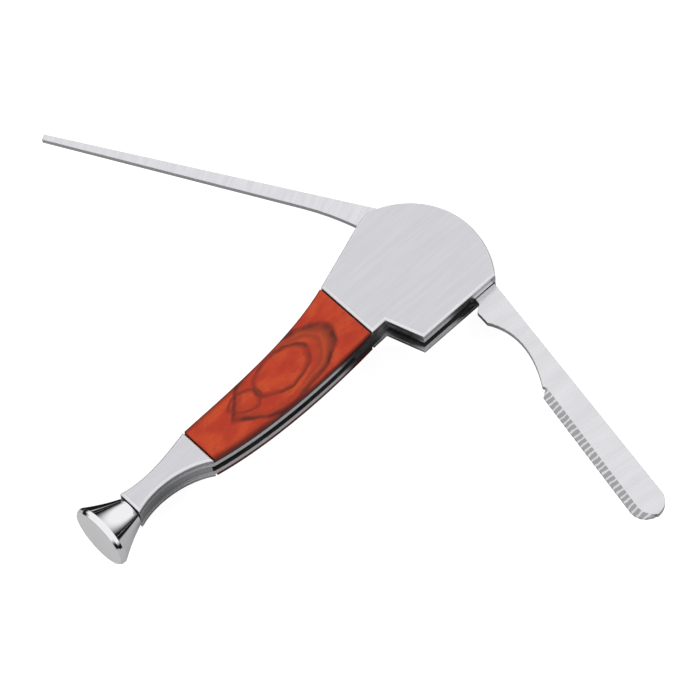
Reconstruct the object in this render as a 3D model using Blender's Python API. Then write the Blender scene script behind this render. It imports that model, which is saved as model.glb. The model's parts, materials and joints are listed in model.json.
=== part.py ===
"""Folding pocket tool for smoking pipes: a tamper foot, a pick and a reamer blade in one handle.

The handle is a riveted stack of five layers. From the rear face up they are a cover plate
(steel bolster, wood scale, steel bolster), a liner, the slot that the tools fold into, a
second liner and a second cover plate. The tool lies on its rear face with its front face up.

Frame: +Z from the rear face to the front face, +Y from the tamper foot to the round head,
+X to the blade's side. The origin is on the rear face, on the foot's axis, level with the
middle of the head. Sizes are in millimetres, and every mesh is scaled to metres as it is made.
"""
from math import asin, atan2, cos, hypot, pi, radians, sin, sqrt

import bmesh
import bpy
from mathutils import Vector

MM = 0.001

# ---- layers, from the rear face up ----
COVER_THICKNESS = 1.05      # bolsters and wood scales
LINER_THICKNESS = 1.00
TOOL_THICKNESS = 1.0        # pick and blade
WASHER_THICKNESS = 0.20
WASHER_GAP = 0.025          # running gap on each side of a washer
SEAM = 0.04                 # gap between plates that lie on each other
EDGE_CHAMFER = 0.30         # on the covers' outer faces

# ---- round head ----
CREST_X = 1.3               # where the head's two top arcs meet
HEAD_TOP = 14.6
LEFT_RADIUS = 13.4
RIGHT_RADIUS = 16.0
SHOULDER_ANGLE = radians(162.6)   # where the left arc turns into the shoulder
SHOULDER_REACH = (0.59, -3.91)    # from the left arc's end to the head's straight lower flank
SHOULDER_PULL = 1.35
HEAD_RIGHT = 11.5
STEP_CORNER_Y = -5.1
NOTCH = (4.9, -7.2)
JOINT_Y = -10.2             # where the head bolster ends and the wood begins
JOINT_LEFT = -6.9
JOINT_RIGHT = 5.0

# ---- handle and neck ----
WOOD_LENGTH = 33.6
WOOD_GAP = 0.30             # shadow line between wood and steel
WOOD_END_LEFT = -3.25
WOOD_END_RIGHT = 3.9
NECK_LENGTH = 14.3
NECK_END_WIDTH = 4.5
# The pulls of a side line are (sideways shift, share of its height), at its upper and lower end.
LEFT_FLANK_PULLS = ((3.3, 0.29), (-0.25, 0.35))
RIGHT_FLANK_PULLS = ((1.0, 0.32), (2.2, 0.29))
NECK_LEFT_PULLS = ((1.35, 0.40), (1.05, 0.29))
NECK_RIGHT_PULLS = ((-2.6, 0.26), (-1.75, 0.32))

# ---- tamper foot ----
FOOT_GAP = 0.25             # shadow line between neck and foot
FOOT_LENGTH = 6.7
FOOT_NECK_RADIUS = 2.55
FOOT_RIM_RADIUS = 5.45
FOOT_FACE_RADIUS = 5.15
FOOT_RIM_HEIGHT = 1.0
FOOT_RIM_BEVEL = 0.45
FOOT_FLARE_PULLS = ((2.0, 0.8), (-2.0, 1.65))   # (along, outward) from the neck and from the rim
TANG_WIDTH = 1.5
TANG_LENGTH = 3.2
TANG_CLEARANCE = 0.06

# ---- pivots ----
PIN_RADIUS = 1.0
PIN_RUNNING_CLEARANCE = 0.05
PRESS_CLEARANCE = 0.03
RIVET_RADIUS = 0.6
PICK_PIVOT_INSET = (5.9, 7.4)     # from the head's left edge and from its top
BLADE_PIVOT_INSET = (3.0, 6.8)    # from the head's right edge and from its top
WASHER_RIM = 0.4            # how far a tool's root stands out past its washers

# ---- pick ----
PICK_REST = radians(209.6)
PICK_ROOT_RADIUS = 2.9
PICK_THROAT = radians(46)   # where the root turns into the flare
PICK_FLARE_PULLS = ((5.5, 1.9), (9.5, 0.0))
PICK_TIP_WIDTH = 1.08
PICK_TAPER_START = 17.0
PICK_TAPER_WIDTH = 2.6
PICK_TIP_SETBACK = 2.9      # folded tip to neck end

# ---- blade ----
BLADE_REST = radians(-10.4)
BLADE_ROOT_RADIUS = 3.25
BLADE_TIP_RADIUS = 3.0
BLADE_TIP_CLEARANCE = 0.30  # folded tip to neck core
BLADE_PROUD = 4.7           # how far the folded spine stands out at the end of the wood
MOUTH_DEPTH = 0.9           # the straight stretch between root and heel
HEEL_START = 4.3
HEEL_SLOPE = 1.1
HEEL_LENGTH = 3.6
HEEL_DEPTH = 2.0
HEEL_RISE = 0.2
CUTOUT_PULLS = ((3.1, 2.6), (-6.7, 2.95))   # from the heel's end and from the cut-out's end
CUTOUT_CLEARANCE = 0.4      # folded, from the shoulder core to the end of the cut-out
CUTOUT_END_DEPTH = 1.25
CHIN = (0.4, 0.3)           # the small step up at the end of the cut-out
GRIND_DELAY = 1.6           # from the end of the cut-out to the first groove
GRIND_START_DEPTH = 2.2
GRIND_WIDTH = 1.35
GROOVE_PITCH = 1.0
RIDGE_EDGE = 0.44           # blade thickness at the edge, on a ridge
GROOVE_EDGE = 0.16          # the same in a groove
GRIND_TIP_ANGLE = radians(5)

# ---- cores, between the liners ----
NECK_CORE_DROP = 0.30       # below the end of the wood
POCKET_CLEARANCE = 0.25     # around the folded pick's tip
SHOULDER_CORE_LEFT = 1.0
SHOULDER_CORE_RISE = 5.7    # above the notch
SHOULDER_CORE_DROP = 4.2    # below the head bolster's end
HEAD_CORE_HEIGHT = 5.4
STOP_GAP = 0.15             # an opened tool's spine to the head core
CROWN_TRIM = 0.2            # spares the core's crown points that crowd its corners

# ---- rivets: how far in from the edges and ends that they hold ----
HEAD_RIVET_DROP = 3.3
HEAD_RIVETS_X = (-0.9, 2.9)
SHOULDER_RIVET_INSET = 2.1
SHOULDER_RIVET_RISE = 3.0   # above the notch
NECK_RIVET_UPPER = (0.6, 2.7)     # x, and how far below the core's top
NECK_RIVET_LOWER = (0.0, 1.5)     # x, and how far above the neck's end

PIN_SIDES = 32
RIVET_SIDES = 20
FOOT_SIDES = 40
FLANK_STEPS = 16
NECK_STEPS = 12

# ---- worked out from the sizes above ----
SLOT = TOOL_THICKNESS + 2 * WASHER_THICKNESS + 4 * WASHER_GAP
REAR_LINER_Z = COVER_THICKNESS + SEAM
SLOT_Z = REAR_LINER_Z + LINER_THICKNESS
FRONT_LINER_Z = SLOT_Z + SLOT
FRONT_COVER_Z = FRONT_LINER_Z + LINER_THICKNESS + SEAM
TOTAL_THICKNESS = FRONT_COVER_Z + COVER_THICKNESS
MIDDLE_Z = TOTAL_THICKNESS / 2
WOOD_END_Y = JOINT_Y - WOOD_LENGTH
NECK_END_Y = WOOD_END_Y - NECK_LENGTH
NECK_CORE_TOP = WOOD_END_Y - NECK_CORE_DROP
LEFT_CENTRE = (CREST_X, HEAD_TOP - LEFT_RADIUS)
RIGHT_CENTRE = (CREST_X, HEAD_TOP - RIGHT_RADIUS)
PICK_PIVOT = (CREST_X - LEFT_RADIUS + PICK_PIVOT_INSET[0], HEAD_TOP - PICK_PIVOT_INSET[1])
BLADE_PIVOT = (HEAD_RIGHT - BLADE_PIVOT_INSET[0], HEAD_TOP - BLADE_PIVOT_INSET[1])
HEAD_CORE_BOTTOM = HEAD_TOP - HEAD_CORE_HEIGHT
SHOULDER_CORE_TOP = NOTCH[1] + SHOULDER_CORE_RISE
SHOULDER_CORE_BOTTOM = JOINT_Y - SHOULDER_CORE_DROP
CUTOUT_END = BLADE_PIVOT[1] - SHOULDER_CORE_BOTTOM + CUTOUT_CLEARANCE
RIVETS = {
    "head_rivet_left": (HEAD_RIVETS_X[0], HEAD_TOP - HEAD_RIVET_DROP),
    "head_rivet_right": (HEAD_RIVETS_X[1], HEAD_TOP - HEAD_RIVET_DROP),
    "shoulder_rivet_upper": (NOTCH[0] - SHOULDER_RIVET_INSET, NOTCH[1] + SHOULDER_RIVET_RISE),
    "shoulder_rivet_lower": (JOINT_RIGHT - SHOULDER_RIVET_INSET, SHOULDER_CORE_BOTTOM + SHOULDER_RIVET_INSET),
    "neck_rivet_upper": (NECK_RIVET_UPPER[0], NECK_CORE_TOP - NECK_RIVET_UPPER[1]),
    "neck_rivet_lower": (NECK_RIVET_LOWER[0], NECK_END_Y + NECK_RIVET_LOWER[1]),
}

BRUSHED_STEEL = ((0.66, 0.66, 0.69), 0.34, 1.0)
BRIGHT_STEEL = ((0.74, 0.74, 0.76), 0.22, 1.0)
DARK_STEEL = ((0.32, 0.32, 0.34), 0.45, 1.0)
POLISHED_CHROME = ((0.86, 0.86, 0.88), 0.06, 1.0)
RED_WOOD = ((0.52, 0.085, 0.03), 0.38, 0.0)
BRONZE = ((0.60, 0.42, 0.20), 0.35, 1.0)


# ---- plane geometry ----
def polar(centre, radius, angle):
    return (centre[0] + radius * cos(angle), centre[1] + radius * sin(angle))


def arc(centre, radius, start, end, steps):
    return [polar(centre, radius, start + (end - start) * i / steps) for i in range(steps + 1)]


def curve(start, pull_start, pull_end, end, steps):
    """A cubic curve through its two ends, shaped by two pull points."""
    points = []
    for i in range(steps + 1):
        t = i / steps
        weights = ((1 - t) ** 3, 3 * t * (1 - t) ** 2, 3 * t * t * (1 - t), t ** 3)
        corners = (start, pull_start, pull_end, end)
        points.append(tuple(sum(w * c[k] for w, c in zip(weights, corners)) for k in (0, 1)))
    return points


def between(points, top, bottom):
    """The stretch of a downward line of points from height top to height bottom."""
    stretch = []
    for a, b in zip(points, points[1:]):
        for height in (top, bottom):
            if b[1] < height < a[1]:
                t = (height - a[1]) / (b[1] - a[1])
                stretch.append((a[0] + t * (b[0] - a[0]), height))
        if bottom <= b[1] <= top:
            stretch.append(b)
    if bottom <= points[0][1] <= top:
        stretch.insert(0, points[0])
    return sorted(set(stretch), key=lambda p: -p[1])


def upper_meeting(point, direction, centre, radius):
    """Where a line through point leaves a circle on its way up."""
    dx, dy = point[0] - centre[0], point[1] - centre[1]
    along = dx * direction[0] + dy * direction[1]
    reach = sqrt(along * along - (dx * dx + dy * dy - radius * radius)) - along
    return (point[0] + reach * direction[0], point[1] + reach * direction[1])


def turned_point(pivot, angle, point):
    """A tool's own point (along, across) in the row's plane when the tool points at angle."""
    x = pivot[0] + point[0] * cos(angle) - point[1] * sin(angle)
    y = pivot[1] + point[0] * sin(angle) + point[1] * cos(angle)
    return (x, y)


# ---- outlines, all with y falling from head to foot ----
def head_crown():
    """From the lower flank over the top of the head to the right edge."""
    start = Vector(polar(LEFT_CENTRE, LEFT_RADIUS, SHOULDER_ANGLE))
    foot = start + Vector(SHOULDER_REACH)
    flank = (foot - Vector((JOINT_LEFT, JOINT_Y))).normalized()
    tangent = Vector((-sin(SHOULDER_ANGLE), cos(SHOULDER_ANGLE)))
    shoulder = curve(foot, foot + SHOULDER_PULL * flank, start + SHOULDER_PULL * tangent, start, 4)
    left = arc(LEFT_CENTRE, LEFT_RADIUS, SHOULDER_ANGLE, pi / 2, 14)
    right_end = pi / 2 - asin((HEAD_RIGHT - CREST_X) / RIGHT_RADIUS)
    right = arc(RIGHT_CENTRE, RIGHT_RADIUS, pi / 2, right_end, 8)
    return shoulder + left[1:] + right[1:]


def head_outline():
    corner = (HEAD_RIGHT, STEP_CORNER_Y)
    return [(JOINT_LEFT, JOINT_Y)] + head_crown() + [corner, NOTCH, (JOINT_RIGHT, JOINT_Y)]


def side_line(upper, lower, pulls, steps):
    (upper_shift, upper_share), (lower_shift, lower_share) = pulls
    height = upper[1] - lower[1]
    pull_start = (upper[0] + upper_shift, upper[1] - upper_share * height)
    pull_end = (lower[0] + lower_shift, lower[1] + lower_share * height)
    return curve(upper, pull_start, pull_end, lower, steps)


def left_flank():
    upper, lower = (JOINT_LEFT, JOINT_Y), (WOOD_END_LEFT, WOOD_END_Y)
    return side_line(upper, lower, LEFT_FLANK_PULLS, FLANK_STEPS)


def right_flank():
    upper, lower = (JOINT_RIGHT, JOINT_Y), (WOOD_END_RIGHT, WOOD_END_Y)
    return side_line(upper, lower, RIGHT_FLANK_PULLS, FLANK_STEPS)


def neck_left():
    upper, lower = (WOOD_END_LEFT, WOOD_END_Y), (-NECK_END_WIDTH / 2, NECK_END_Y)
    return side_line(upper, lower, NECK_LEFT_PULLS, NECK_STEPS)


def neck_right():
    upper, lower = (WOOD_END_RIGHT, WOOD_END_Y), (NECK_END_WIDTH / 2, NECK_END_Y)
    return side_line(upper, lower, NECK_RIGHT_PULLS, NECK_STEPS)


def liner_outline():
    right = right_flank()[1:] + neck_right()[1:]
    left = left_flank()[1:] + neck_left()[1:]
    return head_outline() + right + left[::-1]


def wood_outline():
    top, bottom = JOINT_Y - WOOD_GAP, WOOD_END_Y + WOOD_GAP
    return between(right_flank(), top, bottom) + between(left_flank(), top, bottom)[::-1]


def neck_outline():
    return neck_right() + neck_left()[::-1]


# ---- how far the tools turn ----
def pick_length():
    """Pivot to tip, so that the folded tip ends PICK_TIP_SETBACK above the neck's end."""
    dx = -NECK_END_WIDTH / 2 - PICK_PIVOT[0]
    dy = NECK_END_Y + PICK_TIP_SETBACK - PICK_PIVOT[1]
    return sqrt(dx * dx + dy * dy - PICK_ROOT_RADIUS ** 2)


def pick_folded():
    """The folded pick's direction, with its spine on the neck's left corner line."""
    dx = -NECK_END_WIDTH / 2 - PICK_PIVOT[0]
    dy = NECK_END_Y + PICK_TIP_SETBACK - PICK_PIVOT[1]
    return 2 * pi + atan2(dy, dx) + asin(PICK_ROOT_RADIUS / hypot(dx, dy))


def blade_folded():
    """The folded blade's direction, with its spine BLADE_PROUD past the end of the wood."""
    dx = WOOD_END_RIGHT + BLADE_PROUD - BLADE_PIVOT[0]
    dy = WOOD_END_Y - BLADE_PIVOT[1]
    return atan2(dy, dx) - asin(BLADE_ROOT_RADIUS / hypot(dx, dy))


def blade_tip_centre():
    """Centre of the blade's round tip, in the blade's own plane."""
    folded = blade_folded()
    across = BLADE_ROOT_RADIUS - BLADE_TIP_RADIUS
    lowest = NECK_CORE_TOP + BLADE_TIP_CLEARANCE + BLADE_TIP_RADIUS
    along = (lowest - BLADE_PIVOT[1] - across * cos(folded)) / sin(folded)
    return (along, across)


# ---- the pick's and the blade's outlines, with the pivot at (0, 0) ----
def pick_taper(along):
    """Height of the pick's tapering edge, which ends at the tip's width."""
    share = (along - PICK_TAPER_START) / (pick_length() - PICK_TAPER_START)
    width = PICK_TAPER_WIDTH + (PICK_TIP_WIDTH - PICK_TAPER_WIDTH) * share
    return width - PICK_ROOT_RADIUS


def pick_outline():
    """The spine runs along -across, which is the upper side while the pick is open."""
    length = pick_length()
    flare_start = polar((0, 0), PICK_ROOT_RADIUS, PICK_THROAT)
    taper_start = (PICK_TAPER_START, pick_taper(PICK_TAPER_START))
    flare = curve(flare_start, *PICK_FLARE_PULLS, taper_start, 9)
    root = arc((0, 0), PICK_ROOT_RADIUS, PICK_THROAT, 1.5 * pi, 20)
    tip = [(length, pick_taper(length)), (length, -PICK_ROOT_RADIUS)]
    return root[::-1] + flare[1:-1] + [taper_start] + tip


def blade_back():
    """The blade's plain edges: from the tip's ground end over the spine and root to the grind."""
    centre = blade_tip_centre()
    tip = arc(centre, BLADE_TIP_RADIUS, GRIND_TIP_ANGLE, pi / 2, 8)
    mouth = asin(MOUTH_DEPTH / BLADE_ROOT_RADIUS)
    root = arc((0, 0), BLADE_ROOT_RADIUS, pi / 2, 2 * pi - mouth, 22)
    heel = [(HEEL_START, -MOUTH_DEPTH), (HEEL_START + HEEL_SLOPE, -HEEL_DEPTH)]
    heel_end = Vector((HEEL_START + HEEL_LENGTH, HEEL_RISE - HEEL_DEPTH))
    cutout_end = Vector((CUTOUT_END, -CUTOUT_END_DEPTH))
    pulls = (heel_end + Vector(CUTOUT_PULLS[0]), cutout_end + Vector(CUTOUT_PULLS[1]))
    cutout = curve(heel_end, *pulls, cutout_end, 14)
    return tip[1:] + root + heel + cutout + [tuple(cutout_end + Vector(CHIN))]


def blade_grind():
    """Pairs of edge point and inner point along the ground edge, half a groove apart."""
    centre = blade_tip_centre()
    start = (CUTOUT_END + GRIND_DELAY, -GRIND_START_DEPTH)
    end = (centre[0], centre[1] - BLADE_TIP_RADIUS)
    run = hypot(end[0] - start[0], end[1] - start[1])
    steps = 2 * round(run / GROOVE_PITCH)
    pairs = []
    for i in range(steps):
        t = i / steps
        edge = (start[0] + t * (end[0] - start[0]), start[1] + t * (end[1] - start[1]))
        pairs.append((edge, (edge[0], edge[1] + GRIND_WIDTH)))
    turn = pi / 2 + GRIND_TIP_ANGLE
    tip_steps = 2 * round(turn * BLADE_TIP_RADIUS / GROOVE_PITCH)
    for i in range(tip_steps + 1):
        t = i / tip_steps
        angle = -pi / 2 + t * turn
        inner_radius = BLADE_TIP_RADIUS - GRIND_WIDTH * (1 - t * t)
        pairs.append((polar(centre, BLADE_TIP_RADIUS, angle), polar(centre, inner_radius, angle)))
    return pairs


# ---- meshes and objects ----
def finish(obj, look):
    colour, roughness, metallic = look
    material = bpy.data.materials.new(obj.name)
    material.use_nodes = True
    shader = material.node_tree.nodes["Principled BSDF"]
    shader.inputs["Base Color"].default_value = (*colour, 1.0)
    shader.inputs["Roughness"].default_value = roughness
    shader.inputs["Metallic"].default_value = metallic
    material.diffuse_color = (*colour, 1.0)
    obj.data.materials.append(material)


def add_object(name, bm, look=None, smooth=False):
    bmesh.ops.scale(bm, vec=(MM, MM, MM), verts=bm.verts)
    bmesh.ops.recalc_face_normals(bm, faces=bm.faces)
    mesh = bpy.data.meshes.new(name)
    bm.to_mesh(mesh)
    bm.free()
    if smooth:
        mesh.shade_smooth()
        mesh.set_sharp_from_angle(angle=radians(35))
    obj = bpy.data.objects.new(name, mesh)
    bpy.context.scene.collection.objects.link(obj)
    if look:
        finish(obj, look)
    return obj


def extruded(outline, low, high, chamfer_side=0):
    """A closed plate; chamfer_side +1 chamfers the upper rim, -1 the lower rim."""
    bm = bmesh.new()
    floor = bm.faces.new([bm.verts.new((x, y, low)) for x, y in outline])
    top = bmesh.ops.extrude_face_region(bm, geom=[floor])
    raised = [v for v in top["geom"] if isinstance(v, bmesh.types.BMVert)]
    bmesh.ops.translate(bm, verts=raised, vec=(0, 0, high - low))
    if chamfer_side:
        level = high if chamfer_side > 0 else low
        rim = [e for e in bm.edges if all(abs(v.co.z - level) < 1e-6 for v in e.verts)]
        bmesh.ops.bevel(bm, geom=rim, offset=EDGE_CHAMFER, segments=1, affect="EDGES")
    return bm


def cylinder(radius, low, high, sides, centre=(0, 0)):
    return extruded(arc(centre, radius, 0, 2 * pi, sides)[:-1], low, high)


def plate(name, outline, low, high, look, chamfer_side=0):
    return add_object(name, extruded(outline, low, high, chamfer_side), look)


def drill(name, holes):
    """A cutter with one long cylinder for each hole (centre, radius, sides)."""
    bm = bmesh.new()
    for centre, radius, sides in holes:
        part = cylinder(radius, -1.0, TOTAL_THICKNESS + 1.0, sides, centre)
        mesh = bpy.data.meshes.new("hole")
        part.to_mesh(mesh)
        part.free()
        bm.from_mesh(mesh)
        bpy.data.meshes.remove(mesh)
    cutter = add_object(name, bm)
    cutter.hide_render = True
    cutter.display_type = "WIRE"
    return cutter


def cut(obj, cutter):
    modifier = obj.modifiers.new("holes", "BOOLEAN")
    modifier.operation = "DIFFERENCE"
    modifier.solver = "EXACT"
    modifier.object = cutter


# ---- pieces ----
def make_covers():
    """Two bolsters and a wood scale on each side of the handle."""
    sides = (("rear", 0.0, -1), ("front", FRONT_COVER_Z, 1))
    for side, low, outward in sides:
        high = low + COVER_THICKNESS
        plate(side + "_head_bolster", head_outline(), low, high, BRUSHED_STEEL, outward)
        plate(side + "_wood_scale", wood_outline(), low, high, RED_WOOD, outward)
        plate(side + "_neck_bolster", neck_outline(), low, high, BRUSHED_STEEL, outward)


def make_liners(holes):
    for side, low in (("rear", REAR_LINER_Z), ("front", FRONT_LINER_Z)):
        liner = plate(side + "_liner", liner_outline(), low, low + LINER_THICKNESS, BRIGHT_STEEL)
        cut(liner, holes)


def core_plate(name, outline, holes):
    core = plate(name, outline, SLOT_Z + SEAM, FRONT_LINER_Z - SEAM, DARK_STEEL)
    cut(core, holes)


def head_core_outline():
    """Between the two roots; its sides are the stops for the opened tools' spines."""
    pick_open = pick_folded() - pi
    blade_open = blade_folded() + pi
    left = turned_point(PICK_PIVOT, pick_open, (0, -PICK_ROOT_RADIUS - STOP_GAP))
    right = turned_point(BLADE_PIVOT, blade_open, (0, BLADE_ROOT_RADIUS + STOP_GAP))
    corners = []
    for point, angle, centre, radius in ((left, pick_open, LEFT_CENTRE, LEFT_RADIUS),
                                         (right, blade_open, RIGHT_CENTRE, RIGHT_RADIUS)):
        direction = (cos(angle), sin(angle))
        drop = (HEAD_CORE_BOTTOM - point[1]) / direction[1]
        bottom = (point[0] + drop * direction[0], HEAD_CORE_BOTTOM)
        corners.append((bottom, upper_meeting(point, direction, centre, radius)))
    (left_bottom, left_top), (right_bottom, right_top) = corners
    low, high = left_top[0] + CROWN_TRIM, right_top[0] - CROWN_TRIM
    crown = [p for p in head_crown() if low < p[0] < high and p[1] > HEAD_CORE_BOTTOM]
    return [left_bottom, left_top] + crown + [right_top, right_bottom]


def shoulder_core_outline():
    flank = between(right_flank(), JOINT_Y, SHOULDER_CORE_BOTTOM)
    left = [(SHOULDER_CORE_LEFT, SHOULDER_CORE_BOTTOM), (SHOULDER_CORE_LEFT, SHOULDER_CORE_TOP)]
    return [(NOTCH[0], SHOULDER_CORE_TOP), NOTCH] + flank + left


def neck_core_outline():
    """Flush with the neck on the right, with a pocket for the folded pick's tip on the left."""
    folded, length = pick_folded(), pick_length()
    tip = turned_point(PICK_PIVOT, folded, (length, pick_taper(length)))
    higher = turned_point(PICK_PIVOT, folded, (PICK_TAPER_START, pick_taper(PICK_TAPER_START)))
    slope = (higher[0] - tip[0]) / (higher[1] - tip[1])
    floor = tip[1] - POCKET_CLEARANCE
    wall_low = (tip[0] + POCKET_CLEARANCE, floor)
    wall_high = (wall_low[0] + slope * (NECK_CORE_TOP - floor), NECK_CORE_TOP)
    right = between(neck_right(), NECK_CORE_TOP, NECK_END_Y)
    half = TANG_WIDTH / 2
    tang = [(half, NECK_END_Y), (half, NECK_END_Y - TANG_LENGTH),
            (-half, NECK_END_Y - TANG_LENGTH), (-half, NECK_END_Y)]
    left = between(neck_left(), floor, NECK_END_Y)[::-1]
    return right + tang + left + [wall_low, wall_high]


def make_pick(bore):
    pick = plate("pick", pick_outline(), -TOOL_THICKNESS / 2, TOOL_THICKNESS / 2, BRUSHED_STEEL)
    pick.location = (PICK_PIVOT[0] * MM, PICK_PIVOT[1] * MM, MIDDLE_Z * MM)
    pick.rotation_euler = (0, 0, PICK_REST)
    cut(pick, bore)


def make_blade(bore):
    """The plain edges are square; the ground edge thins to alternating ridges and grooves."""
    half = TOOL_THICKNESS / 2
    stations = [(p, p, half / 2) for p in blade_back()]
    for i, (edge, inner) in enumerate(blade_grind()):
        stations.append((edge, inner, (GROOVE_EDGE if i % 2 else RIDGE_EDGE) / 2))
    bm = bmesh.new()
    levels = [[bm.verts.new((*inner, half)) for edge, inner, lip in stations],
              [bm.verts.new((*edge, lip)) for edge, inner, lip in stations],
              [bm.verts.new((*edge, -lip)) for edge, inner, lip in stations],
              [bm.verts.new((*inner, -half)) for edge, inner, lip in stations]]
    bm.faces.new(levels[0])
    bm.faces.new(levels[3][::-1])
    count = len(stations)
    for upper, lower in zip(levels, levels[1:]):
        for i in range(count):
            j = (i + 1) % count
            bm.faces.new((upper[i], lower[i], lower[j], upper[j]))
    blade = add_object("blade", bm, BRUSHED_STEEL)
    blade.location = (BLADE_PIVOT[0] * MM, BLADE_PIVOT[1] * MM, MIDDLE_Z * MM)
    blade.rotation_euler = (0, 0, BLADE_REST)
    cut(blade, bore)


def make_pivot(tool, pivot, root_radius):
    """A pin through both liners, and a thin washer on each side of the tool's root."""
    height = TOTAL_THICKNESS - 2 * REAR_LINER_Z
    pin = cylinder(PIN_RADIUS, -height / 2, height / 2, PIN_SIDES)
    pieces = [add_object(tool + "_pivot_pin", pin, BRIGHT_STEEL, smooth=True)]
    offset = TOOL_THICKNESS / 2 + WASHER_GAP
    for side, low in (("rear", -offset - WASHER_THICKNESS), ("front", offset)):
        outer = arc((0, 0), root_radius - WASHER_RIM, 0, 2 * pi, PIN_SIDES)[:-1]
        inner = arc((0, 0), PIN_RADIUS + PIN_RUNNING_CLEARANCE, 0, 2 * pi, PIN_SIDES)[:-1]
        bm = ring(outer, inner, low, low + WASHER_THICKNESS)
        pieces.append(add_object(tool + "_washer_" + side, bm, BRONZE, smooth=True))
    for piece in pieces:
        piece.location = (pivot[0] * MM, pivot[1] * MM, MIDDLE_Z * MM)


def ring(outer, inner, low, high):
    """A flat ring between two outlines that have the same number of points."""
    bm = bmesh.new()
    loops = [[bm.verts.new((x, y, z)) for x, y in outline]
             for outline, z in ((outer, low), (outer, high), (inner, high), (inner, low))]
    count = len(outer)
    for a, b in zip(loops, loops[1:] + loops[:1]):
        for i in range(count):
            j = (i + 1) % count
            bm.faces.new((a[i], a[j], b[j], b[i]))
    return bm


def make_rivets():
    height = TOTAL_THICKNESS - 2 * REAR_LINER_Z
    for name, centre in RIVETS.items():
        bm = cylinder(RIVET_RADIUS, -height / 2, height / 2, RIVET_SIDES)
        rivet = add_object(name, bm, DARK_STEEL, smooth=True)
        rivet.location = (centre[0] * MM, centre[1] * MM, MIDDLE_Z * MM)


def make_foot():
    """A turned foot that flares from the neck to its rim, with a blind bore for the core's tang."""
    core_half = SLOT / 2 - SEAM
    bore = hypot(TANG_WIDTH / 2, core_half) + TANG_CLEARANCE
    depth = TANG_LENGTH + TANG_CLEARANCE - FOOT_GAP
    rim_start = FOOT_LENGTH - FOOT_RIM_HEIGHT
    (neck_along, neck_out), (rim_along, rim_out) = FOOT_FLARE_PULLS
    flare = curve((0, FOOT_NECK_RADIUS), (neck_along, FOOT_NECK_RADIUS + neck_out),
                  (rim_start + rim_along, FOOT_NECK_RADIUS + rim_out), (rim_start, FOOT_RIM_RADIUS), 9)
    rim = [(FOOT_LENGTH - FOOT_RIM_BEVEL, FOOT_RIM_RADIUS), (FOOT_LENGTH, FOOT_FACE_RADIUS)]
    profile = [(depth, 0), (depth, bore), (0, bore)] + flare + rim + [(FOOT_LENGTH, 0)]
    bm = bmesh.new()
    rings = []
    for along, radius in profile:
        y = NECK_END_Y - FOOT_GAP - along
        if radius == 0:
            rings.append([bm.verts.new((0, y, MIDDLE_Z))] * FOOT_SIDES)
            continue
        circle = arc((0, MIDDLE_Z), radius, 0, 2 * pi, FOOT_SIDES)[:-1]
        rings.append([bm.verts.new((x, y, z)) for x, z in circle])
    for a, b in zip(rings, rings[1:]):
        for i in range(FOOT_SIDES):
            j = (i + 1) % FOOT_SIDES
            corners = dict.fromkeys((a[i], a[j], b[j], b[i]))
            bm.faces.new(list(corners))
    add_object("tamper_foot", bm, POLISHED_CHROME, smooth=True)


def main():
    for obj in list(bpy.data.objects):
        bpy.data.objects.remove(obj)
    pivots = (PICK_PIVOT, BLADE_PIVOT)
    rivet_holes = [(centre, RIVET_RADIUS + PRESS_CLEARANCE, RIVET_SIDES) for centre in RIVETS.values()]
    pin_holes = [(pivot, PIN_RADIUS + PRESS_CLEARANCE, PIN_SIDES) for pivot in pivots]
    holes = drill("fixed_hole_cutter", rivet_holes + pin_holes)
    make_covers()
    make_liners(holes)
    core_plate("head_core", head_core_outline(), holes)
    core_plate("shoulder_core", shoulder_core_outline(), holes)
    core_plate("neck_core", neck_core_outline(), holes)
    make_rivets()
    running = PIN_RADIUS + PIN_RUNNING_CLEARANCE
    bores = drill("pivot_bore_cutter", [(pivot, running, PIN_SIDES) for pivot in pivots])
    make_pick(bores)
    make_blade(bores)
    make_pivot("pick", PICK_PIVOT, PICK_ROOT_RADIUS)
    make_pivot("blade", BLADE_PIVOT, BLADE_ROOT_RADIUS)
    make_foot()


main()
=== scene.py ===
"""The finished look of a folding pocket tool for smoking pipes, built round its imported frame.

Every plate is a copy of its frame node with its edges eased, so that steel and wood catch light
the way worked edges do. The tamper foot is turned again from its frame profile, finer and with
an eased rim. Each finish is a material of its own, mixed from a few shared surface effects.
"""

import json
from math import atan2, copysign, cos, pi, radians, sin

import bmesh
import bpy
from mathutils import Matrix, Vector


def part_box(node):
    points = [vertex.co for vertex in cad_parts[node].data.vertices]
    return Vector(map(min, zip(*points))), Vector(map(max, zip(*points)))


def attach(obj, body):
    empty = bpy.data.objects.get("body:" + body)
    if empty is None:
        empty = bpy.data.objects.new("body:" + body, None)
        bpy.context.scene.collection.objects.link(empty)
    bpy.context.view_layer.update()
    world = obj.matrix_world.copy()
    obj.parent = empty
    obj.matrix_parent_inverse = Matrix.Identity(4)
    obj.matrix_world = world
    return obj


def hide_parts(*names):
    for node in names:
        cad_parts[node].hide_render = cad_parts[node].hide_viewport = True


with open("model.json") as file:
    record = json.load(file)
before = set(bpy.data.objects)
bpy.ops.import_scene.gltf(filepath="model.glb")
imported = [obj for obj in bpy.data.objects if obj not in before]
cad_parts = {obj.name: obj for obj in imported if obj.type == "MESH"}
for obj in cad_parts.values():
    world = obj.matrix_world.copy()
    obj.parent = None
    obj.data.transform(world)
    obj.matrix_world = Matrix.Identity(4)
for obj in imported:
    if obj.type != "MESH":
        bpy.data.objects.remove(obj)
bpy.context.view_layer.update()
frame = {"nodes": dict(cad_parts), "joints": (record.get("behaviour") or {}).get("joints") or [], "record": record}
SLOT_OF = {part["node"]: part["material_slot"] for part in frame["record"]["subparts"]}

MM = 0.001

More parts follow.
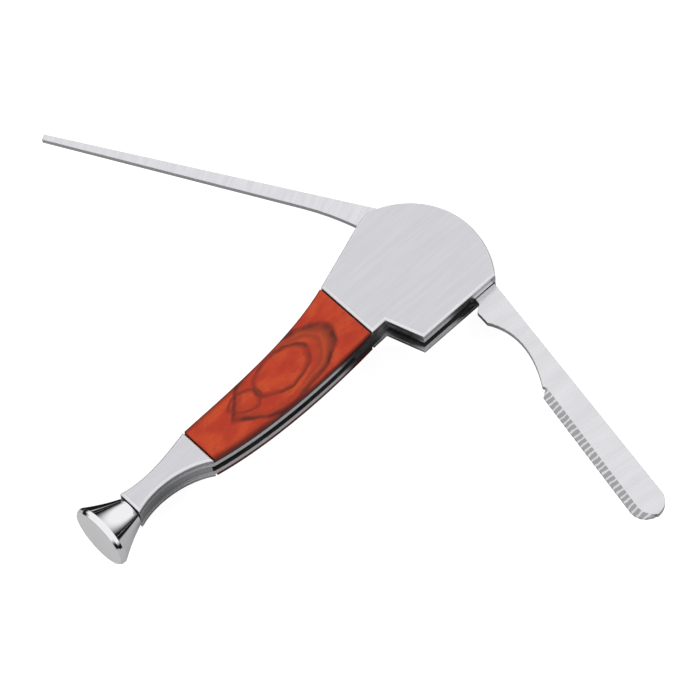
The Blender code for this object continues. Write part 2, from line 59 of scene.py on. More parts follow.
# ---- view ----
CAMERA_AIM = (0.0025, -0.01315, 0.00035)
CAMERA_AZIMUTH = radians(-38.0)
CAMERA_ELEVATION = radians(60.0)
CAMERA_ROLL = radians(6.7)
CAMERA_DISTANCE = 0.70
CAMERA_LENS = 224.8
CAMERA_SENSOR = 36.0
CAMERA_NEAR = 0.01
CAMERA_FAR = 20.0

# ---- studio ----
FLOOR_HALF = 2.0
FLOOR_DROP = 0.06 * MM          # below the points that it carries
FLOOR_WHITE = (0.93, 0.10)      # glow and tone of the open floor, as the camera sees it
FLOOR_BOUNCE = (0.10, 0.42)     # the same as polished metal and the undersides find it
FLOOR_STEEP = 0.73              # up to this slant the floor is pale in reflections
FLOOR_SHALLOW = 0.81            # from this slant on it is dark in them
DARKEST = 0.02
# Dark oval cards of painted shade on the floor, as (centre, radii) in millimetres: beside the neck,
# inside the head's step and under the blade's root. Only polished metal and shaded walls find them.
SHADE_CARDS = (((-18.5, -51.5), (23.0, 10.5)),
         ((8.5, -11.0), (4.0, 5.0)),
         ((14.5, 5.5), (3.0, 3.5)))
SHADE_CARD_SOFTNESS = 0.25
TENT_LEVEL = 1.20
TENT_DARK = 0.01
TENT_FOOT = (0.00, 0.32)        # sine of the height where the tent starts and is at full level
TENT_SEEN = 1.05                # the least that the camera itself sees of the tent

# ---- meshes ----
MERGE_DISTANCE = 0.001 * MM
FLAT_WITHIN = radians(0.3)      # triangles that lie this flat are joined back into one face
FLAT_TILT = 0.995               # a face's normal along Z, from which it counts as flat
WALL_TILT = 0.3                 # and under which it counts as a wall
FACE, SLANT, WALL = 0, 1, 2     # a plate's finishes, in the order of its material slots
FOOT_TURNED, FOOT_FACED = 0, 1  # the foot's finishes, likewise

# ---- edges ----
STEEL_EASE = 0.05 * MM
JOINT_EASE = 0.09 * MM
WOOD_EASE = 0.12 * MM
TOOL_EASE = 0.06 * MM
SHARP_ANGLE = radians(32)
RIM_ANGLE = radians(25)

# ---- wood scales ----
WOOD_SLICES = 14
ACROSS = "across"               # a wood scale's mesh attribute: -1 on its left wall, 1 on its right wall
ACROSS_FACE = 0.93              # the same on the rim of its face
EDGE_SHADE_ENDS = (-0.022, -0.038)  # y at the head end and the foot end of the painted edge shade
EDGE_SHADE_FROM = (0.88, 0.72)      # where across starts to darken the wood with painted shade, at those two ends
FIBRE_SIZE = (0.22 * MM, 3.5 * MM, 2.0 * MM)
MOTTLE_SIZE = (2.2 * MM, 4.5 * MM, 4.0 * MM)
SPECK_SIZE = (0.35 * MM, 0.7 * MM, 0.5 * MM)
SANDED_SIZE = (0.3 * MM, 3.0 * MM, 0.3 * MM)
FIBRE_DEPTH = 0.01 * MM
STAIN_DEEP, STAIN_BRIGHT = (0.50, 0.036, 0.012), (0.62, 0.070, 0.016)
FIBRE_BROWN = (0.30, 0.018, 0.008)
SPECK_BROWN = (0.24, 0.040, 0.014)
ARCH_OLIVE = (0.34, 0.070, 0.020)
RING_BROWN = (0.115, 0.012, 0.007)
# the colour of the painted shade along the wood's edges
EDGE_SHADE_BROWN = (0.075, 0.006, 0.004)
# the wood's walls: sanded fibres, darkened almost to black with painted shade
SANDED_SHADE_DEEP, SANDED_SHADE_BRIGHT = (0.045, 0.006, 0.005), (0.10, 0.012, 0.008)
# The dark rings of the figure, the widest first, in millimetres and degrees. Point says how far
# the foot end is drawn to a point, fade how broad the ring is for its radius, and weight how dark
# it gets.
RINGS = (
    dict(centre=(0.3, -25.6), radii=(5.0, 11.2), turn=-4, point=0.7, fade=0.20, weight=1.0),
    dict(centre=(0.3, -26.2), radii=(4.1, 9.1), turn=-5, point=0.6, fade=0.14, weight=0.35),
    dict(centre=(-0.2, -25.2), radii=(3.2, 5.8), turn=-5, point=0.2, fade=0.24, weight=0.85),
    dict(centre=(-0.3, -33.3), radii=(1.9, 3.0), turn=10, point=0.7, fade=0.40, weight=0.75))
RING_WAVER = 1.2 * MM
RING_WAVER_FINENESS = 330.0
ARCH_ENDS = (-0.026, -0.019)    # y where the olive tint inside the widest ring starts and is full

# ---- blade ----
GROOVE_PITCH = 1.0 * MM
GROOVE_WANDER = 0.7 * MM
GROOVE_WANDER_FINENESS = 700.0
GROOVE_DEPTH = 0.02 * MM

# ---- tamper foot ----
FOOT_SIDES = 128
FOOT_FINENESS = 6
FOOT_RING_PITCH = 0.12 * MM
FOOT_RING_DEPTH = 0.004 * MM


# ---- node helpers ----
def add(tree, kind, **settings):
    node = tree.nodes.new(kind)
    for name, value in settings.items():
        setattr(node, name, value)
    return node


def feed(tree, target, source):
    """Links a socket, or sets a plain value."""
    if isinstance(source, bpy.types.NodeSocket):
        tree.links.new(source, target)
    else:
        target.default_value = source


def feed_all(tree, node, terms):
    """Feeds a node's inputs in their order."""
    for socket, term in zip(node.inputs, terms):
        feed(tree, socket, term)


def maths(tree, operation, *terms):
    node = add(tree, "ShaderNodeMath", operation=operation)
    feed_all(tree, node, terms)
    return node.outputs[0]


def times(tree, first, second):
    return maths(tree, "MULTIPLY", first, second)


def plus(tree, first, second):
    return maths(tree, "ADD", first, second)


def vector_maths(tree, operation, *terms):
    node = add(tree, "ShaderNodeVectorMath", operation=operation)
    feed_all(tree, node, terms)
    return node.outputs["Value" if operation == "LENGTH" else "Vector"]


def scaled(tree, vector, factor):
    node = add(tree, "ShaderNodeVectorMath", operation="SCALE")
    feed(tree, node.inputs[0], vector)
    feed(tree, node.inputs["Scale"], factor)
    return node.outputs[0]


def turned(tree, vector, angle):
    """A vector turned about Z."""
    node = add(tree, "ShaderNodeVectorRotate", rotation_type="Z_AXIS")
    feed(tree, node.inputs["Vector"], vector)
    feed(tree, node.inputs["Angle"], angle)
    return node.outputs[0]


def split(tree, vector):
    """A vector's X, Y and Z sockets, by name."""
    node = add(tree, "ShaderNodeSeparateXYZ")
    feed(tree, node.inputs[0], vector)
    return node.outputs


def place_on_piece(tree):
    return add(tree, "ShaderNodeTexCoord").outputs["Object"]


def ramp(tree, value, low, high, start=0.0, end=1.0):
    """Maps value from low..high onto start..end with soft ends."""
    node = add(tree, "ShaderNodeMapRange", interpolation_type="SMOOTHSTEP")
    feed_all(tree, node, (value, low, high, start, end))
    return node.outputs[0]


def blend_colours(tree, share, first, second):
    node = add(tree, "ShaderNodeMix", data_type="RGBA")
    feed(tree, node.inputs["Factor"], share)
    for socket, colour in ((node.inputs[6], first), (node.inputs[7], second)):
        feed(tree, socket, (*colour, 1.0) if isinstance(colour, tuple) else colour)
    return node.outputs[2]


def cloud(tree, vector, scale, detail=2.0, roughness=0.5, output="Fac"):
    node = add(tree, "ShaderNodeTexNoise")
    feed(tree, node.inputs["Vector"], vector)
    feed(tree, node.inputs["Scale"], scale)
    node.inputs["Detail"].default_value = detail
    node.inputs["Roughness"].default_value = roughness
    return node.outputs[output]


def stretched_cloud(tree, vector, size, detail, roughness):
    """Clouds of the given size along each axis."""
    return cloud(tree, vector_maths(tree, "DIVIDE", vector, size), 1.0, detail, roughness)


def flat_oval(centre, radii):
    """An upright oval tube's centre and radii in metres, from pairs in millimetres."""
    return Vector((centre[0] * MM, centre[1] * MM, 0.0)), Vector((radii[0] * MM, radii[1] * MM, 1.0))


def new_group(name, inputs, outputs):
    """A shader node group with its sockets; an input is (name, kind, default)."""
    tree = bpy.data.node_groups.new(name, "ShaderNodeTree")
    for socket, kind, default in inputs:
        made = tree.interface.new_socket(socket, in_out="INPUT", socket_type="NodeSocket" + kind)
        made.default_value = default
    for socket, kind in outputs:
        tree.interface.new_socket(socket, in_out="OUTPUT", socket_type="NodeSocket" + kind)
    return tree, tree.nodes.new("NodeGroupInput").outputs, tree.nodes.new("NodeGroupOutput").inputs


def place(tree, group, **values):
    """Puts a group into a material, and returns its output sockets."""
    node = add(tree, "ShaderNodeGroup", node_tree=group)
    for name, value in values.items():
        feed(tree, node.inputs[name.replace("_", " ")], value)
    return node.outputs


# ---- shared surface effects ----
def brush_lines_group():
    """Straight fine lines and broad streaks, as a belt leaves them on steel."""
    tree, given, result = new_group(
        "brush lines",
        (("Turn", "Float", 0.0), ("Width", "Float", 0.0001), ("Length", "Float", 0.005)),
        (("Fine", "Float"), ("Broad", "Float")))
    along_lines = turned(tree, place_on_piece(tree), given["Turn"])
    for name, wider, longer, detail in (("Fine", 1.0, 1.0, 3.0), ("Broad", 7.0, 2.2, 2.0)):
        size = add(tree, "ShaderNodeCombineXYZ")
        width = times(tree, given["Width"], wider)
        length = times(tree, given["Length"], longer)
        feed_all(tree, size, (width, length, given["Length"]))
        feed(tree, result[name], stretched_cloud(tree, along_lines, size.outputs[0], detail, 0.6))
    return tree


def handling_group():
    """Soft blotches where fingers have dulled a surface."""
    tree, given, result = new_group(
        "handling", (("Size", "Float", 0.006), ("Amount", "Float", 0.1)), (("Dulled", "Float"),))
    spread = scaled(tree, place_on_piece(tree), maths(tree, "DIVIDE", 1.0, given["Size"]))
    patch = cloud(tree, spread, 1.0, 3.0, 0.6)
    feed(tree, result["Dulled"], times(tree, ramp(tree, patch, 0.35, 0.75), given["Amount"]))
    return tree


def grain_ring_group():
    """One dark ring of figured wood: round at its head end, drawn to a point at its foot end."""
    tree, given, result = new_group(
        "grain ring",
        (("Centre", "Vector", (0, 0, 0)), ("Radii", "Vector", (1, 1, 1)), ("Turn", "Float", 0.0),
         ("Point", "Float", 0.0), ("Fade", "Float", 0.3)),
        (("Ring", "Float"), ("Reach", "Float")))
    place_on = place_on_piece(tree)
    waver = cloud(tree, place_on, RING_WAVER_FINENESS, output="Color")
    shift = vector_maths(tree, "SUBTRACT", waver, (0.5, 0.5, 0.5))
    moved = vector_maths(tree, "ADD", place_on, scaled(tree, shift, RING_WAVER))
    offset = vector_maths(tree, "SUBTRACT", moved, given["Centre"])
    spot = split(tree, vector_maths(tree, "DIVIDE", turned(tree, offset, given["Turn"]), given["Radii"]))
    pinch = times(tree, ramp(tree, spot["Y"], -1.0, -0.45, 1.0, 0.0), given["Point"])
    power = maths(tree, "SUBTRACT", 2.0, pinch)
    across = maths(tree, "POWER", maths(tree, "ABSOLUTE", spot["X"]), power)
    along = maths(tree, "POWER", maths(tree, "ABSOLUTE", spot["Y"]), power)
    reach = maths(tree, "POWER", plus(tree, across, along), maths(tree, "DIVIDE", 1.0, power))
    inner = ramp(tree, reach, maths(tree, "SUBTRACT", 1.0, given["Fade"]), 1.0)
    outer_end = plus(tree, 1.0, times(tree, given["Fade"], 0.5))
    outer = ramp(tree, reach, 1.0, outer_end, 1.0, 0.0)
    feed(tree, result["Ring"], times(tree, inner, outer))
    feed(tree, result["Reach"], reach)
    return tree


def turned_rings_group():
    """Fine rings round the tamper foot's axis, as a lathe tool leaves them."""
    tree, given, result = new_group(
        "turned rings",
        (("Axis height", "Float", 0.0), ("Pitch", "Float", 0.0001)),
        (("Rings", "Float"),))
    spot = split(tree, place_on_piece(tree))
    rise = maths(tree, "SUBTRACT", spot["Z"], given["Axis height"])
    square = plus(tree, maths(tree, "POWER", spot["X"], 2.0), maths(tree, "POWER", rise, 2.0))
    along = add(tree, "ShaderNodeCombineXYZ")
    feed(tree, along.inputs[0], maths(tree, "DIVIDE", maths(tree, "SQRT", square), given["Pitch"]))
    feed(tree, result["Rings"], cloud(tree, along.outputs[0], 1.0, 2.0, 0.6))
    return tree


BRUSH_LINES = brush_lines_group()
HANDLING = handling_group()
GRAIN_RING = grain_ring_group()
TURNED_RINGS = turned_rings_group()


# ---- finishes ----
def new_finish(name):
    material = bpy.data.materials.new(name)
    material.use_nodes = True
    tree = material.node_tree
    return material, tree, tree.nodes["Principled BSDF"]


def raise_surface(tree, shader, height, depth):
    """Feeds height through a Bump of that depth in metres."""
    bump = add(tree, "ShaderNodeBump")
    bump.inputs["Strength"].default_value = 1.0
    bump.inputs["Distance"].default_value = depth
    feed(tree, bump.inputs["Height"], height)
    feed(tree, shader.inputs["Normal"], bump.outputs[0])


def worked_steel(name, tones, sheen, line, depth, turn=0.0, metal=1.0):
    """Steel with grinding lines, whose broad streaks vary its tone and whose fine ones its sheen.

    Tones run from dark to light, and sheen from smooth to rough. A line is (width, length), and
    it and the depth are in millimetres.
    """
    material, tree, shader = new_finish(name)
    lines = place(tree, BRUSH_LINES, Turn=turn, Width=line[0] * MM, Length=line[1] * MM)
    wear = place(tree, HANDLING, Size=6 * MM, Amount=0.05)
    tone = plus(tree, times(tree, lines["Broad"], 0.65), times(tree, lines["Fine"], 0.35))
    feed(tree, shader.inputs["Base Color"], blend_colours(tree, ramp(tree, tone, 0.30, 0.70), *tones))
    gloss = ramp(tree, lines["Fine"], 0.25, 0.75, *sheen)
    feed(tree, shader.inputs["Roughness"], plus(tree, gloss, wear["Dulled"]))
    shader.inputs["Metallic"].default_value = metal
    raise_surface(tree, shader, lines["Fine"], depth * MM)
    return material


def tool_turn(node, joint):
    """The turn that lays a folding tool's length along X, for lines that run across it."""
    pivot = Vector(next(j["pos_m"] for j in frame["joints"] if j["name"] == joint))
    reach = max((v.co - pivot for v in frame["nodes"][node].data.vertices), key=lambda r: r.length)
    return -atan2(reach.y, reach.x)


def stained_wood(tree, place_on, fibre, mottle):
    """The plain red stain, with its mottle, fibres and small brown specks."""
    base = blend_colours(tree, ramp(tree, mottle, 0.32, 0.68), STAIN_DEEP, STAIN_BRIGHT)
    fibre_share = times(tree, ramp(tree, fibre, 0.45, 0.78), 0.30)
    base = blend_colours(tree, fibre_share, base, FIBRE_BROWN)
    specks = stretched_cloud(tree, place_on, SPECK_SIZE, 2.0, 0.6)
    speck_share = times(tree, ramp(tree, specks, 0.50, 0.72), 0.30)
    return blend_colours(tree, speck_share, base, SPECK_BROWN)


def ringed_wood(tree, base, mottle, y):
    """The burl's dark rings over the stain, broken by its mottle, and an olive arch inside them."""
    dark = 0.0
    reaches = []
    for ring in RINGS:
        centre, radii = flat_oval(ring["centre"], ring["radii"])
        placed = place(tree, GRAIN_RING, Centre=centre, Radii=radii, Turn=radians(ring["turn"]),
                       Point=ring["point"], Fade=ring["fade"])
        dark = maths(tree, "MAXIMUM", dark, times(tree, placed["Ring"], ring["weight"]))
        reaches.append(placed["Reach"])
    widest = reaches[0]
    arch = times(tree, ramp(tree, widest, 0.50, 0.95), ramp(tree, widest, 0.97, 1.03, 1.0, 0.0))
    olive = times(tree, arch, ramp(tree, y, *ARCH_ENDS))
    base = blend_colours(tree, times(tree, olive, 0.45), base, ARCH_OLIVE)
    broken = times(tree, dark, ramp(tree, mottle, 0.28, 0.60, 0.45, 1.0))
    return blend_colours(tree, broken, base, RING_BROWN)


def edge_shaded_wood(tree, base, y):
    """The wood darkened with painted shade toward its edges, and further in at the foot end."""
    across = add(tree, "ShaderNodeAttribute", attribute_name=ACROSS).outputs["Fac"]
    start = ramp(tree, y, EDGE_SHADE_ENDS[1], EDGE_SHADE_ENDS[0], EDGE_SHADE_FROM[1], EDGE_SHADE_FROM[0])
    edge_shade = ramp(tree, maths(tree, "ABSOLUTE", across), start, 1.0)
    return blend_colours(tree, times(tree, edge_shade, 0.80), base, EDGE_SHADE_BROWN)


def red_wood():
    """Red stain over looping dark figure, with painted shade toward the edges."""
    material, tree, shader = new_finish("red stained burl")
    place_on = place_on_piece(tree)
    fibre = stretched_cloud(tree, place_on, FIBRE_SIZE, 4.0, 0.6)
    mottle = stretched_cloud(tree, place_on, MOTTLE_SIZE, 3.0, 0.55)
    y = split(tree, place_on)["Y"]
    base = stained_wood(tree, place_on, fibre, mottle)
    base = ringed_wood(tree, base, mottle, y)
    feed(tree, shader.inputs["Base Color"], edge_shaded_wood(tree, base, y))
    feed(tree, shader.inputs["Roughness"], ramp(tree, fibre, 0.3, 0.7, 0.30, 0.42))
    shader.inputs["Specular IOR Level"].default_value = 0.22
    raise_surface(tree, shader, fibre, FIBRE_DEPTH)
    return material


# The wood's walls: a sanded edge, painted dark for the shade they lie in.
def shaded_wood_edge():
    material, tree, shader = new_finish("sanded wood edge in painted shade")
    fibre = stretched_cloud(tree, place_on_piece(tree), SANDED_SIZE, 3.0, 0.6)
    colour = blend_colours(tree, ramp(tree, fibre, 0.3, 0.7), SANDED_SHADE_DEEP, SANDED_SHADE_BRIGHT)
    feed(tree, shader.inputs["Base Color"], colour)
    feed(tree, shader.inputs["Roughness"], ramp(tree, fibre, 0.3, 0.7, 0.38, 0.50))
    shader.inputs["Specular IOR Level"].default_value = 0.25
    raise_surface(tree, shader, fibre, FIBRE_DEPTH)
    return material


def shaded_grooved_steel(turn):
    """The blade's ground edge: light ridges with a painted highlight between cross grooves darkened with painted
    shade.
    """
    material, tree, shader = new_finish("grooved edge steel with painted shade")
    place_on = place_on_piece(tree)
    uneven = times(tree, cloud(tree, place_on, GROOVE_WANDER_FINENESS), GROOVE_WANDER)
    along = plus(tree, split(tree, turned(tree, place_on, turn))["X"], uneven)
    wave = maths(tree, "SINE", times(tree, along, 2 * pi / GROOVE_PITCH))
    ridge = ramp(tree, wave, 0.1, 1.0)
    # painted highlight on the ridges and painted shade in the grooves
    colour = blend_colours(tree, ridge, (0.38, 0.38, 0.39), (0.72, 0.72, 0.74))
    feed(tree, shader.inputs["Base Color"], colour)
    feed(tree, shader.inputs["Roughness"], ramp(tree, wave, -1.0, 1.0, 0.42, 0.26))
    shader.inputs["Metallic"].default_value = 1.0
    raise_surface(tree, shader, ridge, GROOVE_DEPTH)
    return material


def polished_chrome():
    material, tree, shader = new_finish("mirror chrome")
    wear = place(tree, HANDLING, Size=3 * MM, Amount=0.03)
    feed(tree, shader.inputs["Roughness"], plus(tree, wear["Dulled"], 0.03))
    shader.inputs["Base Color"].default_value = (0.90, 0.90, 0.92, 1.0)
    shader.inputs["Metallic"].default_value = 1.0
    return material


def foot_face_steel(height):
    material, tree, shader = new_finish("satin foot face")
    rings = place(tree, TURNED_RINGS, Axis_height=height, Pitch=FOOT_RING_PITCH)["Rings"]
    colour = blend_colours(tree, ramp(tree, rings, 0.3, 0.7), (0.93, 0.93, 0.94), (1.0, 1.0, 1.0))
    feed(tree, shader.inputs["Base Color"], colour)
    feed(tree, shader.inputs["Roughness"], ramp(tree, rings, 0.3, 0.7, 0.30, 0.40))
    shader.inputs["Metallic"].default_value = 0.05
    raise_surface(tree, shader, rings, FOOT_RING_DEPTH)
    return material


def turned_bronze():
    material, tree, shader = new_finish("bronze washer")
    wear = place(tree, HANDLING, Size=2 * MM, Amount=0.15)["Dulled"]
    feed(tree, shader.inputs["Roughness"], plus(tree, wear, 0.30))
    colour = blend_colours(tree, wear, (0.60, 0.42, 0.20), (0.30, 0.20, 0.10))
    feed(tree, shader.inputs["Base Color"], colour)
    shader.inputs["Metallic"].default_value = 1.0
    return material


PICK_TURN = tool_turn("pick", "pick_pivot")
BLADE_TURN = tool_turn("blade", "blade_pivot")
CROSSWISE = radians(90)
BRUSHED = worked_steel("brushed bolster steel", ((0.645, 0.645, 0.68), (0.69, 0.69, 0.73)),
                       sheen=(0.28, 0.34), line=(0.10, 5.0), depth=0.0007)
# chamfers and eased edges of the bolsters: polished steel, half matt white as a painted highlight
LIT_CHAMFER = worked_steel("chamfer steel with painted highlight", ((0.86, 0.86, 0.88), (0.93, 0.93, 0.95)),
                       sheen=(0.30, 0.38), line=(0.3, 3.0), depth=0.001, metal=0.5)
# walls of bolsters and tools: a sheared finish, toned darker than the faces as painted shade
SHEARED_AND_SHADED = worked_steel("sheared edge steel with painted shade", ((0.38, 0.38, 0.40), (0.62, 0.62, 0.65)),
                       sheen=(0.26, 0.38), line=(0.10, 0.12), depth=0.003)
# liner faces, seen only inside the slot: the liner's steel made near-black as painted shade
LINER_IN_SHADE = worked_steel("liner steel in painted shade", ((0.10, 0.10, 0.105), (0.18, 0.18, 0.185)),
                     sheen=(0.36, 0.50), line=(0.12, 4.0), depth=0.003)
LINER_EDGE = worked_steel("liner edge steel", ((0.55, 0.55, 0.57), (0.85, 0.85, 0.88)),
                          sheen=(0.22, 0.34), line=(0.10, 0.12), depth=0.003)
# core faces, hidden between the liners: the core's steel made near-black as painted shade
CORE_IN_SHADE = worked_steel("core steel in painted shade", ((0.08, 0.08, 0.085), (0.14, 0.14, 0.145)),
                    sheen=(0.36, 0.50), line=(0.2, 3.0), depth=0.003, turn=CROSSWISE)
# eased edges of liners and cores: near-black painted shade for the seams between the layers
JOINT_SHADE = worked_steel("joint shade steel", ((0.05, 0.05, 0.055), (0.12, 0.12, 0.125)),
                     sheen=(0.35, 0.50), line=(0.10, 0.12), depth=0.001)
CORE_EDGE = worked_steel("core edge steel", ((0.38, 0.38, 0.40), (0.60, 0.60, 0.62)),
                         sheen=(0.30, 0.42), line=(0.10, 0.12), depth=0.003)
PIN = worked_steel("pin steel", ((0.42, 0.42, 0.44), (0.55, 0.55, 0.57)),
                   sheen=(0.25, 0.35), line=(0.2, 2.0), depth=0.002, turn=CROSSWISE)
PICK = worked_steel("ground pick steel", ((0.70, 0.70, 0.73), (0.80, 0.80, 0.83)),
                    sheen=(0.22, 0.32), line=(0.16, 4.0), depth=0.002, turn=PICK_TURN)
BLADE = worked_steel("ground blade steel", ((0.72, 0.72, 0.745), (0.79, 0.79, 0.815)),
                     sheen=(0.22, 0.32), line=(0.22, 5.0), depth=0.001, turn=BLADE_TURN)
TOOL_EDGE = worked_steel("tool edge steel", ((0.50, 0.50, 0.52), (0.70, 0.70, 0.72)),
                         sheen=(0.24, 0.36), line=(0.12, 2.0), depth=0.002)
SHADED_GRIND = shaded_grooved_steel(BLADE_TURN)
WOOD = red_wood()
SHADED_WOOD_EDGE = shaded_wood_edge()
CHROME = polished_chrome()
BRONZE = turned_bronze()


# ---- pieces ----
def new_object(name, bm):
    """A scene object that takes over the working mesh."""
    mesh = bpy.data.meshes.new(name)
    bm.to_mesh(mesh)
    bm.free()
    made = bpy.data.objects.new(name, mesh)
    bpy.context.scene.collection.objects.link(made)
    return made


def frame_mesh(node):
    """A frame node's surface with its triangles joined back into flat faces."""
    bm = bmesh.new()
    bm.from_mesh(frame["nodes"][node].data)
    bmesh.ops.remove_doubles(bm, verts=bm.verts, dist=MERGE_DISTANCE)
    bmesh.ops.dissolve_limit(bm, angle_limit=FLAT_WITHIN, verts=bm.verts, edges=bm.edges)
    return bm


def add_piece(name, bm, node, body, finishes):
    piece = new_object(name, bm)
    piece.data.shade_smooth()
    piece.data.set_sharp_from_angle(angle=SHARP_ANGLE)
    for finish in finishes:
        piece.data.materials.append(finish)
    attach(piece, body)
    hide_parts(node)
    return piece


def ease_edges(piece, width, segments, angle):
    """Rounds the edges that are sharper than angle."""
    bevel = piece.modifiers.new("eased edges", "BEVEL")
    bevel.width = width
    bevel.segments = segments
    bevel.limit_method = "ANGLE"
    bevel.angle_limit = angle
    bevel.harden_normals = True
    return bevel


def side_of(surface):
    """Which of a plate's finishes a surface takes, by its tilt."""
    tilt = abs(surface.normal.z)
    if tilt > FLAT_TILT:
        return FACE
    return WALL if tilt < WALL_TILT else SLANT


def finish_plate(node, bm, body, finishes, width, segments=2):
    """Gives flat faces, slanted ones and walls their own finishes; eased edges count as slanted."""
    for surface in bm.faces:
        surface.material_index = side_of(surface)
    piece = add_piece(node + "_finished", bm, node, body, finishes)
    ease_edges(piece, width, segments, SHARP_ANGLE).material = SLANT


def eased(node, body, face, slant, wall, width):
    """A plate copied from its frame node, with its sharp edges rounded by width."""
    finish_plate(node, frame_mesh(node), body, (face, slant, wall), width)


def wood_scale(node):
    """A wood scale that carries, across its width, how far each point is from its middle."""
    bm = frame_mesh(node)
    low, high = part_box(node)
    for cut in range(1, WOOD_SLICES):
        level = low.lerp(high, cut / WOOD_SLICES)
        everything = bm.verts[:] + bm.edges[:] + bm.faces[:]
        bmesh.ops.bisect_plane(bm, geom=everything, plane_co=level, plane_no=(0, 1, 0))
    across = bm.verts.layers.float.new(ACROSS)
    bm.normal_update()
    for vertex in bm.verts:
        on_wall = any(abs(surface.normal.z) < WALL_TILT for surface in vertex.link_faces)
        vertex[across] = copysign(1.0 if on_wall else ACROSS_FACE, vertex.co.x)
    finish_plate(node, bm, "handle", (WOOD, WOOD, SHADED_WOOD_EDGE), WOOD_EASE, 3)


def covers():
    for side in ("rear_", "front_"):
        for plate in ("head_bolster", "neck_bolster"):
            eased(side + plate, "handle", BRUSHED, LIT_CHAMFER, SHEARED_AND_SHADED, STEEL_EASE)
        wood_scale(side + "wood_scale")
        eased(side + "liner", "handle", LINER_IN_SHADE, JOINT_SHADE, LINER_EDGE, JOINT_EASE)


def cores():
    for core in ("head_core", "shoulder_core", "neck_core"):
        eased(core, "handle", CORE_IN_SHADE, JOINT_SHADE, CORE_EDGE, STEEL_EASE)


def folding_tools():
    eased("pick", "pick", PICK, TOOL_EDGE, SHEARED_AND_SHADED, TOOL_EASE)
    eased("blade", "blade", BLADE, SHADED_GRIND, SHEARED_AND_SHADED, STEEL_EASE)


def smooth_run(points, fineness):
    """A finer run through points, bent like a drawn spline."""
    run = []
    for i in range(len(points) - 1):
        before, start = points[max(i - 1, 0)], points[i]
        end, after = points[i + 1], points[min(i + 2, len(points) - 1)]
        for step in range(fineness):
            t = step / fineness
            run.append(0.5 * ((2 * start) + (end - before) * t
                              + (2 * before - 5 * start + 4 * end - after) * t * t
                              + (3 * start - before - 3 * end + after) * t ** 3))
    return run + [points[-1]]


def foot_profile(centre):
    """Half the foot's section as (distance along, radius) points, with a finer flare."""
    pairs = set()
    for vertex in frame["nodes"]["tamper_foot"].data.vertices:
        radius = Vector((vertex.co.x - centre.x, vertex.co.z - centre.z)).length
        pairs.add((round(vertex.co.y, 6), round(radius, 6)))
    top = max(y for y, radius in pairs)
    bore = min(radius for y, radius in pairs if y == top)
    depth = min(y for y, radius in pairs if radius == bore)
    outside = sorted((Vector(p) for p in pairs if p[1] > bore), key=lambda p: (-p.x, -p.y))
    flare, rim = outside[:-2], outside[-2:]
    blind_bore = [Vector((depth, 0.0)), Vector((depth, bore)), Vector((top, bore))]
    return blind_bore + smooth_run(flare, FOOT_FINENESS) + rim + [Vector((rim[-1].x, 0.0))]


def turned_ring(bm, centre, along, radius):
    """One ring of points round the foot's axis, or its one middle point where the radius is 0."""
    if radius == 0:
        return [bm.verts.new((centre.x, along, centre.z))] * FOOT_SIDES
    ring = []
    for side in range(FOOT_SIDES):
        angle = 2 * pi * side / FOOT_SIDES
        spot = (centre.x + radius * cos(angle), along, centre.z + radius * sin(angle))
        ring.append(bm.verts.new(spot))
    return ring


def tamper_foot():
    low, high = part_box("tamper_foot")
    centre = (low + high) / 2
    bm = bmesh.new()
    rings = [turned_ring(bm, centre, *point) for point in foot_profile(centre)]
    for a, b in zip(rings, rings[1:]):
        for side in range(FOOT_SIDES):
            other = (side + 1) % FOOT_SIDES
            surface = bm.faces.new(list(dict.fromkeys((a[side], a[other], b[other], b[side]))))
            surface.material_index = FOOT_FACED if b is rings[-1] else FOOT_TURNED
    bmesh.ops.recalc_face_normals(bm, faces=bm.faces)
    finishes = (CHROME, foot_face_steel(centre.z))
    piece = add_piece("tamper_foot_turned", bm, "tamper_foot", "handle", finishes)
    ease_edges(piece, STEEL_EASE, 2, RIM_ANGLE)


def inner_hardware():
    """Pins, rivets and washers stay as the frame has them, and take their finish."""
    finishes = {"pin_steel": PIN, "bronze_washer": BRONZE}
    for node, piece in frame["nodes"].items():
        if SLOT_OF[node] in finishes:
            piece.data.materials.clear()
            piece.data.materials.append(finishes[SLOT_OF[node]])


# ---- studio ----
def camera():
    data = bpy.data.cameras.new("camera")
    data.sensor_width = CAMERA_SENSOR
    data.lens = CAMERA_LENS
    data.clip_start = CAMERA_NEAR
    data.clip_end = CAMERA_FAR
    outward = cos(CAMERA_ELEVATION)
    back = Vector((cos(CAMERA_AZIMUTH) * outward, sin(CAMERA_AZIMUTH) * outward, sin(CAMERA_ELEVATION)))
    right = Vector((0, 0, 1)).cross(back).normalized()
    up = back.cross(right)
    rolled_right = cos(CAMERA_ROLL) * right - sin(CAMERA_ROLL) * up
    rolled_up = sin(CAMERA_ROLL) * right + cos(CAMERA_ROLL) * up
    obj = bpy.data.objects.new("camera", data)
    bpy.context.scene.collection.objects.link(obj)
    turn = Matrix((rolled_right, rolled_up, back)).transposed().to_4x4()
    obj.matrix_world = Matrix.Translation(Vector(CAMERA_AIM) + CAMERA_DISTANCE * back) @ turn
    bpy.context.scene.camera = obj


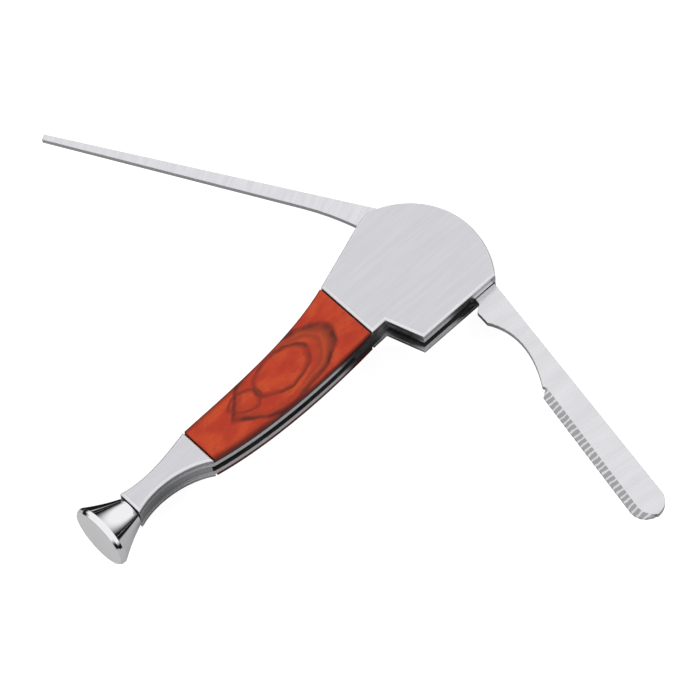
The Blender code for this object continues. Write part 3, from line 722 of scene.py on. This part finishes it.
def floor_paint():
    """Nearly white to the camera, and duller with dark cards of painted shade to whatever reflects it."""
    material = bpy.data.materials.new("pale floor")
    material.use_nodes = True
    tree = material.node_tree
    tree.nodes.clear()
    slant = add(tree, "ShaderNodeLayerWeight").outputs["Facing"]
    level = ramp(tree, slant, FLOOR_STEEP, FLOOR_SHALLOW, 1.0, DARKEST)
    flat_place = vector_maths(tree, "MULTIPLY", place_on_piece(tree), (1.0, 1.0, 0.0))
    # each card paints the tool's shade on the floor, seen only in reflections
    for shade_card in SHADE_CARDS:
        centre, radii = flat_oval(*shade_card)
        spot = vector_maths(tree, "DIVIDE", vector_maths(tree, "SUBTRACT", flat_place, centre), radii)
        reach = vector_maths(tree, "LENGTH", spot)
        off_shade_card = ramp(tree, reach, 1.0 - SHADE_CARD_SOFTNESS, 1.0 + SHADE_CARD_SOFTNESS, DARKEST, 1.0)
        level = times(tree, level, off_shade_card)
    seen = add(tree, "ShaderNodeLightPath").outputs["Is Camera Ray"]
    amounts = []
    for white, bounce in zip(FLOOR_WHITE, FLOOR_BOUNCE):
        amounts.append(maths(tree, "MAXIMUM", times(tree, level, bounce), times(tree, seen, white)))
    glow = add(tree, "ShaderNodeEmission")
    feed(tree, glow.inputs["Strength"], amounts[0])
    pale = add(tree, "ShaderNodeBsdfDiffuse")
    feed(tree, pale.inputs["Color"], amounts[1])
    both = add(tree, "ShaderNodeAddShader")
    feed_all(tree, both, (glow.outputs[0], pale.outputs[0]))
    out = add(tree, "ShaderNodeOutputMaterial")
    feed(tree, out.inputs["Surface"], both.outputs[0])
    return material


def floor():
    """A pale floor that the tool lies on: it carries the foot's rim and the head's rear edge."""
    foot_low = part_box("tamper_foot")[0]
    head_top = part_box("rear_head_bolster")[1].y
    slope = foot_low.z / (head_top - foot_low.y)
    bm = bmesh.new()
    corners = []
    for x, y in ((-1, -1), (1, -1), (1, 1), (-1, 1)):
        rise = slope * (head_top - y * FLOOR_HALF) - FLOOR_DROP
        corners.append(bm.verts.new((x * FLOOR_HALF, y * FLOOR_HALF, rise)))
    bm.faces.new(corners)
    obj = new_object("floor", bm)
    obj.data.materials.append(floor_paint())


def studio_light():
    """A white tent all round, down to just above the floor."""
    scene = bpy.context.scene
    scene.view_settings.view_transform = "Standard"
    world = bpy.data.worlds.new("studio")
    scene.world = world
    world.use_nodes = True
    tree = world.node_tree
    tree.nodes.clear()
    height = split(tree, add(tree, "ShaderNodeTexCoord").outputs["Generated"])["Z"]
    level = ramp(tree, height, *TENT_FOOT, TENT_DARK, TENT_LEVEL)
    seen = add(tree, "ShaderNodeLightPath").outputs["Is Camera Ray"]
    background = add(tree, "ShaderNodeBackground")
    feed(tree, background.inputs["Strength"], maths(tree, "MAXIMUM", level, times(tree, seen, TENT_SEEN)))
    out = add(tree, "ShaderNodeOutputWorld")
    feed(tree, out.inputs["Surface"], background.outputs[0])


covers()
cores()
folding_tools()
tamper_foot()
inner_hardware()
camera()
floor()
studio_light()
